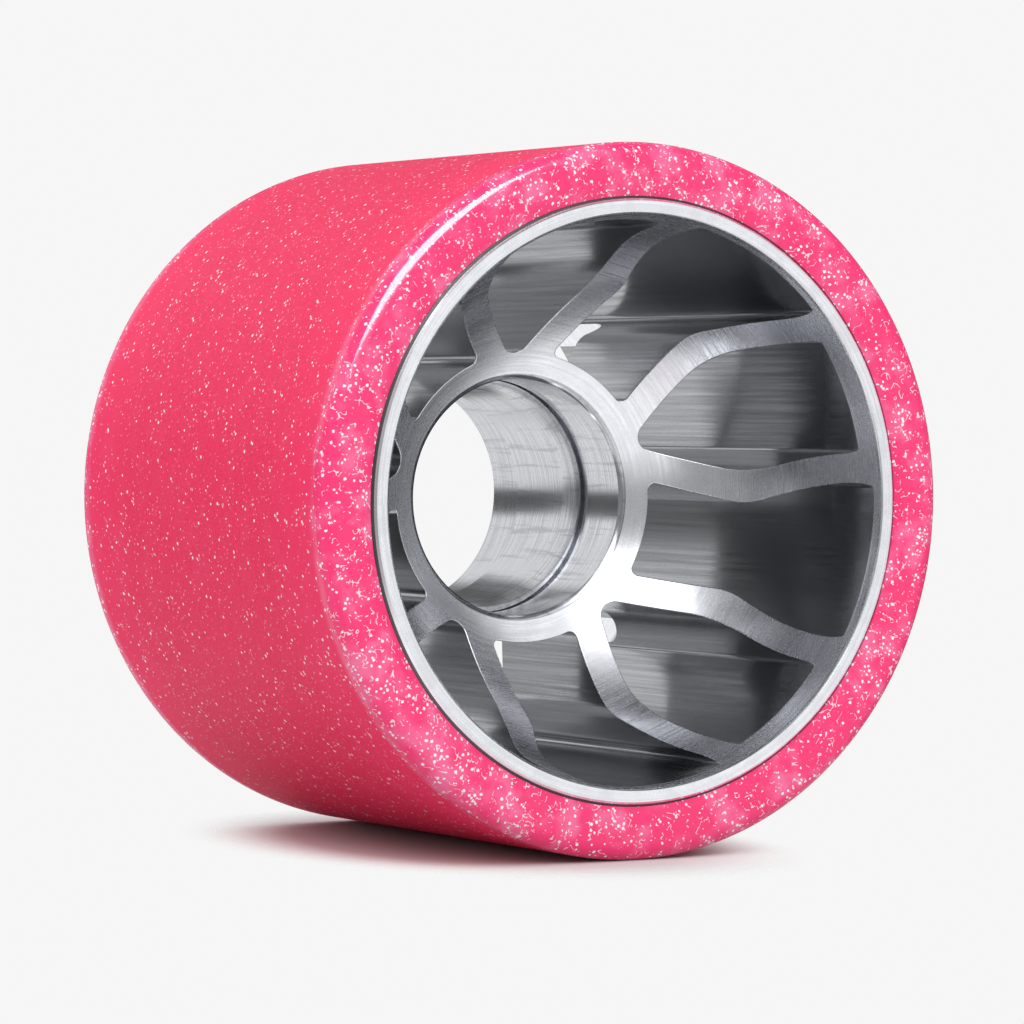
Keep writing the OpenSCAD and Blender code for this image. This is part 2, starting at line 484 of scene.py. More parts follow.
@dataclass(frozen=True)
class RingRepeat:
    """Repeats a sector around the wheel's axis with Geometry Nodes and welds its seams."""

    count: int
    finishes: tuple[bpy.types.Material, ...]
    seam: float = 0.004 * MM

    def tree(self) -> tuple[bpy.types.NodeTree, dict[str, str]]:
        """Builds the node tree.

        Returns:
            The tree and the identifiers of its inputs by name.
        """
        group = bpy.data.node_groups.new("ring_repeat", "GeometryNodeTree")
        sockets = group.interface
        sockets.new_socket("Geometry", in_out="OUTPUT", socket_type="NodeSocketGeometry")
        made = {}
        for name, kind in (("Sector", "Geometry"), ("Count", "Int"), ("Seam", "Float")):
            made[name] = sockets.new_socket(name, in_out="INPUT", socket_type="NodeSocket" + kind).identifier
        nodes = Tree(group)
        inputs = nodes.add("NodeGroupInput")
        count = inputs.outputs["Count"]
        points = nodes.add("GeometryNodePoints", Count=count)
        step = nodes.math("DIVIDE", 2 * math.pi, count)
        angle = nodes.times(nodes.add("GeometryNodeInputIndex").outputs[0], step)
        turn = nodes.add("ShaderNodeCombineXYZ", Y=angle)
        copies = nodes.add(
            "GeometryNodeInstanceOnPoints",
            Points=points.outputs[0],
            Instance=inputs.outputs["Sector"],
            Rotation=turn.outputs[0],
        )
        real = nodes.add("GeometryNodeRealizeInstances", Geometry=copies.outputs[0])
        seam = inputs.outputs["Seam"]
        shape = nodes.add("GeometryNodeMergeByDistance", Geometry=real.outputs[0], Distance=seam)
        kind = nodes.add("GeometryNodeInputNamedAttribute", {"data_type": "INT"}, Name=FINISH_LAYER)
        for index, material in enumerate(self.finishes):
            equal = {"data_type": "INT", "operation": "EQUAL"}
            same = nodes.add("FunctionNodeCompare", equal, A=kind.outputs[0], B=index)
            shape = nodes.add(
                "GeometryNodeSetMaterial",
                Geometry=shape.outputs[0],
                Selection=same.outputs[0],
                Material=material,
            )
        nodes.add("NodeGroupOutput", Geometry=shape.outputs[0])
        return group, made

    def run(self, name: str, sector: bpy.types.Mesh, exact: Normal | None = None) -> bpy.types.Object:
        """Makes a whole piece from its sector.

        Args:
            name: Name of the piece.
            sector: Mesh of one sector, with a finish on each face.
            exact: Function that gives the true normal at a point, or None away from its face.

        Returns:
            The piece as a plain mesh object.
        """
        piece = bpy.data.objects.new(name, sector)
        bpy.context.scene.collection.objects.link(piece)
        group, inputs = self.tree()
        repeat = piece.modifiers.new("repeat", "NODES")
        repeat.node_group = group
        repeat[inputs["Count"]] = self.count
        repeat[inputs["Seam"]] = self.seam
        whole = plain_mesh(piece)
        piece.modifiers.remove(repeat)
        piece.data = whole
        outward(whole)
        whole.shade_smooth()
        whole.set_sharp_from_angle(angle=math.radians(CREASE_DEGREES))
        even = piece.modifiers.new("even", "WEIGHTED_NORMAL")
        even.mode, even.weight, even.keep_sharp = "FACE_AREA", 100, True
        piece.data = plain_mesh(piece)
        piece.modifiers.remove(even)
        if exact:
            true_normals(piece.data, exact)
        return piece


def outward(mesh: bpy.types.Mesh) -> None:
    """Turns all faces of a closed mesh outwards and logs whether it is closed.

    Args:
        mesh: Mesh to turn.
    """
    shape = bmesh.new()
    shape.from_mesh(mesh)
    bmesh.ops.recalc_face_normals(shape, faces=shape.faces)
    loose = sum(1 for edge in shape.edges if len(edge.link_faces) != 2)
    LOG.info("%s: %d faces, %d open edges", mesh.name, len(shape.faces), loose)
    shape.to_mesh(mesh)
    shape.free()


def true_normals(mesh: bpy.types.Mesh, exact: Normal) -> None:
    """Gives the corners that lie on a known face their true normals.

    Args:
        mesh: Mesh with smooth normals.
        exact: Function that gives the true normal at a point, or None away from its face.
    """
    known = [exact(vertex.co) for vertex in mesh.vertices]
    normals = [corner.vector.copy() for corner in mesh.corner_normals]
    for face in mesh.polygons:
        for loop in face.loop_indices:
            normal = known[mesh.loops[loop].vertex_index]
            if normal and normal.dot(face.normal) > SAME_SIDE:
                normals[loop] = normal
    mesh.normals_split_custom_set(normals)


class TurnedFace:
    """Face of revolution, whose section runs outwards from the axis."""

    def path(self, radius: float) -> float:
        """Gives the path along the section at a radius."""
        raise NotImplementedError

    def radius(self, path: float) -> float:
        """Gives the radius at a path along the section."""
        raise NotImplementedError

    def height(self, radius: float) -> float:
        """Gives the height at a radius."""
        raise NotImplementedError

    def spread(self, plan: Vector) -> Vector:
        """Moves a plan point out to its path, so that steep stretches aren't squeezed."""
        return plan * (self.path(plan.length) / plan.length)

    def gather(self, spread: Vector) -> Vector:
        """Takes a spread point back to its plan place."""
        return spread * (self.radius(spread.length) / spread.length)


@dataclass
class DishFace(TurnedFace):
    """Front dish: an arc from the edge of the bore, then a leaning wall up to the lip."""

    edge: Vector
    top: Vector
    bend: float
    lean: float

    def __post_init__(self) -> None:
        """Finds the wall's foot and the arc's centre."""
        along, inward = unit(180 + self.lean), unit(90 + self.lean)
        base = self.top + self.bend * inward - self.edge
        share = base.dot(along)
        wall = -share - math.sqrt(share ** 2 - base.length_squared + self.bend ** 2)
        self.foot = self.top + wall * along
        self.centre = self.foot + self.bend * inward
        self.start = math.radians(bearing(self.edge - self.centre))
        self.arc = self.bend * (math.radians(bearing(self.foot - self.centre)) - self.start)
        self.rise = math.tan(math.radians(self.lean))
        self.run = math.cos(math.radians(self.lean))

    def path(self, radius: float) -> float:
        """Gives the path along the section at a radius.

        Args:
            radius: Distance from the axis.

        Returns:
            The path, which begins at the bore's edge with the radius of that edge.
        """
        if radius > self.foot.x:
            return self.edge.x + self.arc + (radius - self.foot.x) / self.run
        return self.edge.x + self.bend * (-math.acos((radius - self.centre.x) / self.bend) - self.start)

    def radius(self, path: float) -> float:
        """Gives the radius at a path along the section.

        Args:
            path: Path in the way that path counts it.

        Returns:
            The distance from the axis.
        """
        way = path - self.edge.x
        if way > self.arc:
            return self.foot.x + (way - self.arc) * self.run
        return self.centre.x + self.bend * math.cos(self.start + way / self.bend)

    def height(self, radius: float) -> float:
        """Gives the height at a radius.

        Args:
            radius: Distance from the axis.

        Returns:
            The height towards the front.
        """
        if radius > self.foot.x:
            return self.top.y - (self.top.x - radius) * self.rise
        return self.centre.y - math.sqrt(self.bend ** 2 - (radius - self.centre.x) ** 2)

    def slope(self, radius: float) -> float:
        """Gives the rise per unit of radius.

        Args:
            radius: Distance from the axis.

        Returns:
            The slope of the section.
        """
        if radius > self.foot.x:
            return self.rise
        run = radius - self.centre.x
        return run / math.sqrt(self.bend ** 2 - run ** 2)


@dataclass
class RecessFace(TurnedFace):
    """Floor of the rear recess, which bends down into the rim's wall."""

    floor: float
    rim: float
    bend: float
    near: float = 1e-4

    def path(self, radius: float) -> float:
        """Gives the path along the section at a radius."""
        over = radius - self.rim + self.bend
        return radius if over < 0 else radius - over + self.bend * math.asin(min(1.0, over / self.bend))

    def radius(self, path: float) -> float:
        """Gives the radius at a path along the section."""
        over = path - self.rim + self.bend
        return path if over < 0 else path - over + self.bend * math.sin(over / self.bend)

    def height(self, radius: float) -> float:
        """Gives the height at a radius.

        Args:
            radius: Distance from the axis.

        Returns:
            The height towards the front.
        """
        over = radius - self.rim + self.bend
        if over < 0:
            return self.floor
        drop = 0.0 if radius > self.rim - self.near else math.sqrt(self.bend ** 2 - over ** 2)
        return self.floor - self.bend + drop


class SectorMesh:
    """Collects the faces of one sector, with points given by plan place and height towards the front."""

    clear_share = 0.6

    def __init__(self, grid: float) -> None:
        """Starts an empty mesh.

        Args:
            grid: Size of the triangles in its filled faces, in millimetres.
        """
        self.mesh = bmesh.new()
        self.finish = self.mesh.faces.layers.int.new(FINISH_LAYER)
        self.grid = grid

    def point(self, plan: Vector, height: float) -> bmesh.types.BMVert:
        """Adds a point at a place seen from the front and a height towards it, in millimetres."""
        return self.mesh.verts.new((plan.x * MM, -height * MM, plan.y * MM))

    def face(self, corners: Row, finish: Finish) -> None:
        """Adds a face through its corners."""
        self.mesh.faces.new(corners)[self.finish] = int(finish)

    def strip(self, first: Row, second: Row, finish: Finish) -> None:
        """Joins two rows of points with a strip of faces."""
        for a, b, c, d in zip(first, first[1:], second[1:], second):
            self.face([a, b, c, d], finish)

    def lathe(self, profile: list[Point], angles: list[float], finish: Finish) -> None:
        """Turns a profile about the axis.

        Args:
            profile: Radius and height of its points.
            angles: Angles of its copies, in degrees.
            finish: Finish of the faces.
        """
        rows = [[self.point(radius * unit(a), height) for a in angles] for radius, height in profile]
        for first, second in zip(rows, rows[1:]):
            self.strip(first, second, finish)

    def flat(self, outline: list[Vector], height: float, finish: Finish) -> None:
        """Fills a flat outline at one height."""
        self.face([self.point(p, height) for p in outline], finish)

    def cover(self, shape: TurnedFace, ring: list[Vector], hole: list[Vector], finish: Finish) -> None:
        """Fills an outline on a turned face with even triangles.

        Args:
            shape: Turned face that the outline lies on.
            ring: Outline seen from the front.
            hole: Outline of a hole in it, or an empty list.
            finish: Finish of the faces.
        """
        plans = ring + hole
        places = [shape.spread(p) for p in plans]
        edges = [(i, (i + 1) % len(ring)) for i in range(len(ring))]
        edges += [(len(ring) + i, len(ring) + (i + 1) % len(hole)) for i in range(len(hole))]
        for place in self.inner_places(places):
            places.append(place)
            plans.append(shape.gather(place))
        made = {}
        _, _, faces, origins, _, _ = delaunay_2d_cdt(places, edges, [], 1, TINY)
        around = places[len(ring):len(ring) + len(hole)]
        for face in faces:
            corners = [origins[i][0] for i in face]
            if encloses(around, sum((places[i] for i in corners), Vector((0.0, 0.0))) / 3):
                continue
            for i in corners:
                if i not in made:
                    made[i] = self.point(plans[i], shape.height(plans[i].length))
            self.face([made[i] for i in corners], finish)

    def inner_places(self, edge: list[Vector]) -> list[Vector]:
        """Spreads points in rings over the box of an outline, clear of the outline itself.

        Args:
            edge: Points of the outline.

        Returns:
            The points.
        """
        tree = KDTree(len(edge))
        for i, p in enumerate(edge):
            tree.insert((p.x, p.y, 0), i)
        tree.balance()
        turns = [math.radians(bearing(p)) for p in edge]
        radius, reach = min(p.length for p in edge), max(p.length for p in edge)
        found = []
        while radius < reach:
            radius += self.grid
            count = max(1, int((max(turns) - min(turns)) * radius / self.grid))
            for i in range(count):
                turn = min(turns) + (i + 0.5) * (max(turns) - min(turns)) / count
                p = radius * unit(math.degrees(turn))
                if tree.find((p.x, p.y, 0))[2] > self.clear_share * self.grid:
                    found.append(p)
        return found

    def done(self, name: str) -> bpy.types.Mesh:
        """Welds the points and makes the mesh.

        Args:
            name: Name of the mesh.

        Returns:
            The sector's mesh.
        """
        bmesh.ops.remove_doubles(self.mesh, verts=self.mesh.verts, dist=WELD_MM * MM)
        wide = [f for f in self.mesh.faces if len(f.verts) > 4]
        bmesh.ops.triangulate(self.mesh, faces=wide)
        mesh = bpy.data.meshes.new(name)
        self.mesh.to_mesh(mesh)
        self.mesh.free()
        return mesh


@dataclass(frozen=True)
class Keys:
    """Grooves around the rim, which the tyre's ribs fill. Sizes are in millimetres."""

    count: int = 3
    width: float = 4.0
    depth: float = 0.5
    pitch: float = 10.0

    def line(self, radius: float) -> list[Point]:
        """Gives the section of the grooves in a wall.

        Args:
            radius: Radius of the wall.

        Returns:
            Radius and height of its points, from the front to the back.
        """
        floor, line = radius - self.depth, []
        for i in reversed(range(self.count)):
            middle = (i - (self.count - 1) / 2) * self.pitch
            top, bottom = middle + self.width / 2, middle - self.width / 2
            line += [(radius, top), (floor, top), (floor, bottom), (radius, bottom)]
        return line


@dataclass
class Hub:
    """Aluminium hub: turned dish and bore in an extruded body with bent spokes. Sizes are in millimetres."""

    pairs: int = 5
    pair_angle: float = 22.4
    rim_chamfer: float = 0.4
    lip_w: float = 1.0
    lip_bevel: float = 0.25
    wall_pair: float = 2.0
    wall_gap: float = 1.75
    keys: Keys = Keys()
    face_depth: float = 22.0
    dish_r: float = 21.0
    wall_angle: float = 81.0
    tube_r: float = 13.45
    tube_len: float = 24.8
    seat_depth: float = 7.0
    seat_chamfer: float = 0.5
    land_r: float = 10.0
    shoulder_h: float = 0.5
    land_taper: float = 2.5
    relief_w: float = 0.5
    relief_depth: float = 0.25
    leg_w_in: float = 2.8
    leg_w_out: float = 2.5
    elbow_inset: float = 4.4
    elbow_angle: float = 20.5
    lean_in: float = 38.5
    lean_out: float = 5.5
    elbow_bend_pair: float = 5.0
    elbow_bend_gap: float = 2.2
    tube_fillet: float = 0.6
    rim_fillet_pair: float = 0.4
    rim_fillet_gap: float = 0.5
    rear_recess: float = 15.0
    rear_round: float = 4.5
    rear_step: float = 0.4
    edge_r: float = 0.12
    arc_steps: int = 10
    leg_steps: int = 12
    edge_steps: int = 4
    grid: float = 0.6
    on_face: float = 0.004

    def __post_init__(self) -> None:
        """Works out the places that follow from the sizes and from the frame."""
        low, high = mm_box("hub")
        self.front = -low.y
        self.rim_r = high.x
        self.seat_r = mount("front_bearing_seat")["dims"]["r_mm"]
        self.half = 180 / self.pairs
        self.pocket_pair = self.rim_r - self.wall_pair
        self.pocket_gap = self.rim_r - self.wall_gap
        self.rear_rim = self.rim_r - max(self.wall_pair, self.wall_gap) - self.rear_step
        self.rear_tube = self.tube_r + self.rear_step
        self.bore_edge = self.seat_r + self.seat_chamfer
        self.tube_front = self.front - self.face_depth
        self.tube_back = self.tube_front - self.tube_len
        self.lip_inner = self.rim_r - self.rim_chamfer - self.lip_w
        self.turns = [-self.half + i for i in range(int(2 * self.half) + 1)]
        self.wall_top = Vector((self.lip_inner - self.lip_bevel, self.front - self.lip_bevel))
        mouth = Vector((self.bore_edge, self.tube_front))
        self.dish = DishFace(mouth, self.wall_top, self.dish_r, self.wall_angle)
        self.recess = RecessFace(self.rear_recess - self.front, self.rear_rim, self.rear_round)

    def arc(self, centre: Vector, radius: float, start: float, end: float, side: int) -> Outline:
        """Gives the points of an arc with their directions into the metal.

        Args:
            centre: Centre of the arc.
            radius: Radius of the arc.
            start: First angle in degrees.
            end: Last angle in degrees.
            side: One where the metal lies outside the arc, minus one where it lies inside.

        Returns:
            Pairs of a point and a direction.
        """
        steps = self.arc_steps
        angles = [start + (end - start) * i / steps for i in range(steps + 1)]
        return [(centre + radius * unit(a), side * unit(a)) for a in angles]

    def joined(self, *arcs: Outline) -> Outline:
        """Joins arcs by straight legs that are cut into short steps.

        Args:
            arcs: Arcs in their order along the outline.

        Returns:
            The whole line.
        """
        line = list(arcs[0])
        for arc in arcs[1:]:
            (start, lean), (end, _) = line[-1], arc[0]
            if (end - start).length > self.grid:
                line += [(start.lerp(end, i / self.leg_steps), lean) for i in range(1, self.leg_steps)]
            line += arc if (end - start).length > TINY else arc[1:]
        return line

    def outlines(self) -> tuple[Outline, Outline]:
        """Draws one half of each pocket, from the tube to the rim, with the pair's middle on the first axis.

        Returns:
            The half inside the pair and the half between two pairs.
        """
        elbow = (self.pocket_pair - self.elbow_inset) * unit(self.elbow_angle)
        half_in, half_out = self.leg_w_in / 2, self.leg_w_out / 2

        def bend(shift: float, radius: float) -> Vector:
            """Finds the centre of the round at the elbow, on one side of the legs.

            Args:
                shift: One on the gap's side of the legs, minus one inside the pair.
                radius: Radius of the round.

            Returns:
                The centre.
            """
            way_in, way_out = shift * half_in - radius, shift * half_out - radius
            turn = math.sin(math.radians(self.lean_in + self.lean_out))
            return elbow + (way_out * unit(self.lean_in) - way_in * unit(-self.lean_out)) / turn

        def fillet(lean: float, shift: float, ring: float) -> Vector:
            """Finds the centre of a fillet beside a leg.

            Args:
                lean: Angle of the leg, in degrees.
                shift: Distance from the leg's middle line, to the left.
                ring: Radius of the ring that the centre lies on.

            Returns:
                The centre.
            """
            start = elbow + shift * left_of(lean)
            share = start.dot(unit(lean))
            return start + (-share + math.sqrt(share ** 2 - start.length_squared + ring ** 2)) * unit(lean)

        offset = elbow.dot(left_of(self.lean_in)) - half_in
        round_x = (self.tube_r + offset) / (1 - math.sin(math.radians(self.lean_in)))
        pair_ring = self.pocket_pair - self.rim_fillet_pair
        gap_ring = self.pocket_gap - self.rim_fillet_gap
        pair_rim = fillet(-self.lean_out, -half_out - self.rim_fillet_pair, pair_ring)
        gap_rim = fillet(-self.lean_out, half_out + self.rim_fillet_gap, gap_ring)
        gap_tube = fillet(self.lean_in, half_in + self.tube_fillet, self.tube_r + self.tube_fillet)
        middle = Vector((0.0, 0.0))
        lean_a, lean_b = 90 + self.lean_in, 90 - self.lean_out
        pair = self.joined(
            self.arc(Vector((round_x, 0.0)), round_x - self.tube_r, 180, lean_a, 1),
            self.arc(bend(-1, self.elbow_bend_pair), self.elbow_bend_pair, lean_a, lean_b, 1),
            self.arc(pair_rim, self.rim_fillet_pair, lean_b, bearing(pair_rim), 1),
            self.arc(middle, self.pocket_pair, bearing(pair_rim), 0, 1),
        )
        gap = self.joined(
            self.arc(middle, self.tube_r, self.half, bearing(gap_tube), -1),
            self.arc(gap_tube, self.tube_fillet, bearing(gap_tube) - 180, self.lean_in - 90, 1),
            self.arc(bend(1, self.elbow_bend_gap), self.elbow_bend_gap, lean_a, lean_b, -1),
            self.arc(gap_rim, self.rim_fillet_gap, -90 - self.lean_out, bearing(gap_rim), 1),
            self.arc(middle, self.pocket_gap, bearing(gap_rim), self.half, 1),
        )
        return self.with_steps(pair), self.with_steps(gap)

    def with_steps(self, line: Outline) -> Outline:
        """Adds the points at which an outline crosses the two walls of the rear recess.

        Args:
            line: Outline without these points.

        Returns:
            The outline with them.
        """
        made = [line[0]]
        for (a, lean_a), (b, lean_b) in zip(line, line[1:]):
            for ring in (self.rear_tube, self.rear_rim):
                if (a.length - ring) * (b.length - ring) < 0:
                    share = (ring - a.length) / (b.length - a.length)
                    lean = lean_a.lerp(lean_b, share).normalized()
                    made.append((a.lerp(b, share).normalized() * ring, lean))
            made.append((b, lean_b))
        return made

    def bore_profile(self) -> list[Point]:
        """Gives the section of the bore.

        Returns:
            Radius and height of its points, from the hub face to the back.
        """
        front, back = self.tube_front, self.tube_back
        floor, rear_floor = front - self.seat_depth, back + self.seat_depth
        groove = self.seat_r + self.relief_depth
        return [
            (self.bore_edge, front),
            (self.seat_r, front - self.seat_chamfer),
            (self.seat_r, floor + self.relief_w),
            (groove, floor + self.relief_w),
            (groove, floor),
            (self.seat_r - self.shoulder_h, floor),
            (self.land_r, floor - self.land_taper),
            (self.land_r, rear_floor),
            (self.seat_r, rear_floor),
            (self.seat_r, back + self.seat_chamfer),
            (self.bore_edge, back),
        ]

    def rim_profile(self) -> list[Point]:
        """Gives the section of the rim.

        Returns:
            Radius and height of its points, from the lip round the outside to the back.
        """
        lip_outer = self.rim_r - self.rim_chamfer
        line = [
            tuple(self.wall_top),
            (self.lip_inner, self.front),
            (lip_outer, self.front),
            (lip_outer + self.rim_chamfer / 2, self.front - self.rim_chamfer / 2),
            (self.rim_r, self.front - self.rim_chamfer),
        ]
        line += self.keys.line(self.rim_r)
        return line + [(self.rim_r, self.rim_chamfer - self.front), (lip_outer, -self.front)]

    def sector(self) -> bpy.types.Mesh:
        """Builds one sector, a spoke pair with half a gap on each side.

        Returns:
            The sector's mesh.
        """
        mesh = SectorMesh(self.grid)
        pair, gap = self.outlines()
        loop = [(self.swing(p), self.swing(n)) for p, n in reversed(pair)][:-1] + pair
        after, before = gap, [(self.swing(p), self.swing(n)) for p, n in gap]
        hole, upper, lower = (self.walls(mesh, line) for line in (loop, after, before))
        bore = [self.bore_edge * unit(a) for a in self.turns]
        lip = [self.wall_top.x * unit(a) for a in self.turns]
        mesh.cover(self.dish, bore + upper + lip[::-1] + lower[::-1], hole[:-1], Finish.TURNED)
        self.back(mesh, pair, gap)
        mesh.lathe(self.bore_profile(), self.turns, Finish.BORED)
        rim = self.rim_profile()
        mesh.lathe(rim[:4], self.turns, Finish.TURNED)
        # The outer half of the front chamfer, the rim under the tyre and the rear chamfer are dark. This is
        # primer for the bond, and painted shade of the gap between lip and tyre where it shows.
        mesh.lathe(rim[3:], self.turns, Finish.PRIMED)
        return mesh.done("hub_sector")

    @staticmethod
    def swing(plan: Vector) -> Vector:
        """Mirrors a plan point across the pair's middle."""
        return Vector((plan.x, -plan.y))

    def feet(self, plan: Vector, beside: float) -> list[float]:
        """Gives the heights of a wall's corners below its edge, from the recess on down.

        Args:
            plan: Place of the corner.
            beside: Radius of the wall's middle, which tells what the wall belongs to.

        Returns:
            The heights, from the front to the back.
        """
        level = self.recess.height(plan.length)
        if self.rear_tube < beside < self.rear_rim:
            return [level]
        foot = self.tube_back if beside < self.rear_tube else -self.front
        step = min(abs(plan.length - ring) for ring in (self.rear_tube, self.rear_rim))
        return [level, foot] if step < self.recess.near else [foot]

    def walls(self, mesh: SectorMesh, line: Outline) -> list[Vector]:
        """Builds a pocket's walls and the rounded edge above them.

        Args:
            mesh: Sector that the faces go into.
            line: Outline with its directions into the metal.

        Returns:
            Plan points of the edge's upper row, which lies on the dish.
        """
        rows, steps = [], self.edge_steps
        for step in range(steps + 1):
            turn = math.radians(90 * step / steps)
            out, drop = self.edge_r * (1 - math.cos(turn)), self.edge_r * (1 - math.sin(turn))
            row = []
            for p, lean in line:
                slope = self.dish.slope(p.length) * lean.dot(p.normalized())
                plan = p + lean * (out / math.sqrt(1 + slope ** 2))
                row.append((plan, self.dish.height(plan.length) - drop))
            rows.append(row)
        made = [[mesh.point(plan, height) for plan, height in row] for row in rows]
        for first, second in zip(made, made[1:]):
            mesh.strip(first, second, Finish.TURNED)
        for i in range(len(line) - 1):
            (a, _), (b, _) = line[i], line[i + 1]
            beside = (a.length + b.length) / 2
            down = [mesh.point(b, height) for height in self.feet(b, beside)]
            up = [mesh.point(a, height) for height in reversed(self.feet(a, beside))]
            # Pocket walls get the drawn finish, whose dark colour is painted shade in the pockets.
            mesh.face([made[0][i], made[0][i + 1], *down, *up], Finish.DRAWN)
        return [plan for plan, _ in rows[-1]]

    def back(self, mesh: SectorMesh, pair: Outline, gap: Outline) -> None:
        """Builds the flat faces and the recess at the back.

        Args:
            mesh: Sector that the faces go into.
            pair: Half outline of the pocket inside the pair.
            gap: Half outline of the pocket between two pairs.
        """
        inside, between = ([p for p, _ in line] for line in (pair, gap))
        near = self.recess.near

        def part(line: list[Vector], low: float, high: float) -> list[Vector]:
            """Picks an outline's points between two radii."""
            return [p for p in line if low - near <= p.length <= high + near]

        def ring(radius: float, start: Vector, end: Vector) -> list[Vector]:
            """Gives the points of a recess wall between two outlines."""
            a, b = bearing(start), bearing(end)
            return [radius * unit(a + (b - a) * i / self.arc_steps) for i in range(self.arc_steps + 1)]

        legs = [part(line, self.rear_tube, self.rear_rim) for line in (inside, between)]
        feet = [part(line, 0.0, self.rear_tube) for line in (inside, between)]
        tips = [part(line, self.rear_rim, self.rim_r) for line in (inside, between)]
        tube = ring(self.rear_tube, legs[0][0], legs[1][0])
        rim = ring(self.rear_rim, legs[0][-1], legs[1][-1])
        tube_half = feet[0] + tube[1:-1] + feet[1][::-1]
        rim_half = tips[0][::-1] + rim[1:-1] + tips[1]
        for turn in (lambda p: p, self.swing):
            outline = legs[0] + rim[1:-1] + legs[1][::-1] + tube[1:-1][::-1]
            mesh.cover(self.recess, [turn(p) for p in outline], [], Finish.TURNED)
            for wall, foot in ((tube, self.tube_back), (rim, -self.front)):
                level = self.recess.height(wall[0].length)
                rows = [[mesh.point(turn(p), h) for p in wall] for h in (level, foot)]
                mesh.strip(*rows, Finish.TURNED)
        for half, radius, height in (
            (tube_half, self.bore_edge, self.tube_back),
            (rim_half, self.rim_r - self.rim_chamfer, -self.front),
        ):
            edge = [self.swing(p) for p in reversed(half)][:-1] + half
            mesh.flat(edge + [radius * unit(a) for a in reversed(self.turns)], height, Finish.TURNED)

    def dish_normal(self, place: Vector) -> Vector | None:
        """Gives the dish's normal at a point.

        Args:
            place: Point of the mesh, in metres.

        Returns:
            The normal, or None where the point is not on the dish.
        """
        radius, height = math.hypot(place.x, place.z) / MM, -place.y / MM
        if not self.bore_edge - self.recess.near < radius < self.wall_top.x + self.recess.near:
            return None
        if abs(height - self.dish.height(radius)) > self.on_face:
            return None
        lean = -self.dish.slope(radius) / (radius * MM)
        return Vector((lean * place.x, -1.0, lean * place.z)).normalized()

    def build(self, finishes: tuple[bpy.types.Material, ...]) -> bpy.types.Object:
        """Builds the hub in place of its solid.

        Args:
            finishes: Materials in the order of Finish.

        Returns:
            The hub.
        """
        mesh = self.sector()
        mesh.transform(Matrix.Rotation(-math.radians(self.pair_angle), 4, "Y"))
        piece = RingRepeat(self.pairs, finishes).run("hub_turned", mesh, self.dish_normal)
        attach(piece, BODY)
        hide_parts("hub")
        return piece


@dataclass
class Tyre:
    """Cast tyre with its ribs under the rim. Sizes are in millimetres."""

    bond_r: float = 27.17
    shoulder_r: float = 1.5
    dip: float = 0.4
    dip_w: float = 1.2
    keys: Keys = Keys()
    sectors: int = 36
    sector_steps: int = 10
    shoulder_steps: int = 14

    def profile(self) -> list[Point]:
        """Gives the closed section of the tyre.

        Returns:
            Radius and height of its points, from the front of the bond round the outside.
        """
        low, high = mm_box("tyre")
        front, radius = -low.y, high.x
        corner = radius - self.shoulder_r
        half = [(self.bond_r, front - self.dip), (self.bond_r + self.dip_w, front)]
        steps = self.shoulder_steps
        bend = [unit(90 - 90 * i / steps) * self.shoulder_r for i in range(steps + 1)]
        half += [(corner + p.x, front - self.shoulder_r + p.y) for p in bend]
        line = half + [(r, -h) for r, h in reversed(half)]
        line += reversed(self.keys.line(self.bond_r))
        return line + line[:1]

    def build(self, finish: bpy.types.Material) -> bpy.types.Object:
        """Builds the tyre in place of its solid.

        Args:
            finish: Material of the urethane.

        Returns:
            The tyre.
        """
        mesh = SectorMesh(self.shoulder_r)
        span = 360 / self.sectors
        angles = [span * i / self.sector_steps for i in range(self.sector_steps + 1)]
        mesh.lathe(self.profile(), angles, Finish.CAST)
        piece = RingRepeat(self.sectors, (finish,)).run("tyre_cast", mesh.done("tyre_sector"))
        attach(piece, BODY)
        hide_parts("tyre")
        return piece


@dataclass(frozen=True)
class Card:
    """Soft round patch of the room that only reflections show, with angles in degrees."""

    name: str
    azimuth: float
    elevation: float
    inner: float
    outer: float
    level: float

    def over(self, tree: Tree, way: Socket, room: Socket) -> Socket:
        """Lays the patch over the room.

        Args:
            tree: Tree that the nodes go into.
            way: Direction into the room.
            room: Level of the room behind the patch.

        Returns:
            The level with the patch in it.
        """
        middle = towards(self.azimuth, self.elevation)
        dot = {"operation": "DOT_PRODUCT", "label": self.name}
        near = tree.add("ShaderNodeVectorMath", dot, i0=way, i1=middle)
        reach = math.cos(math.radians(self.outer)), math.cos(math.radians(self.inner))
        return tree.mix(tree.ramp(near.outputs["Value"], *reach), room, self.level)


@dataclass(frozen=True)
class Lamp:
    """Soft lamp that faces the wheel, with its way from the wheel, width and height in metres, and watts."""

    name: str
    way: Triple
    size: Point
    power: float
    distance: float = 0.6

    def build(self) -> bpy.types.Object:
        """Makes the lamp.

        Returns:
            The lamp.
        """
        light = bpy.data.lights.new(self.name, "AREA")
        light.shape = "RECTANGLE"
        light.size, light.size_y = self.size
        light.energy = self.power
        lamp = bpy.data.objects.new(self.name, light)
        way = Vector(self.way)
        lamp.location = way.normalized() * self.distance
        lamp.rotation_euler = way.to_track_quat("Z", "Y").to_euler()
        bpy.context.scene.collection.objects.link(lamp)
        return lamp


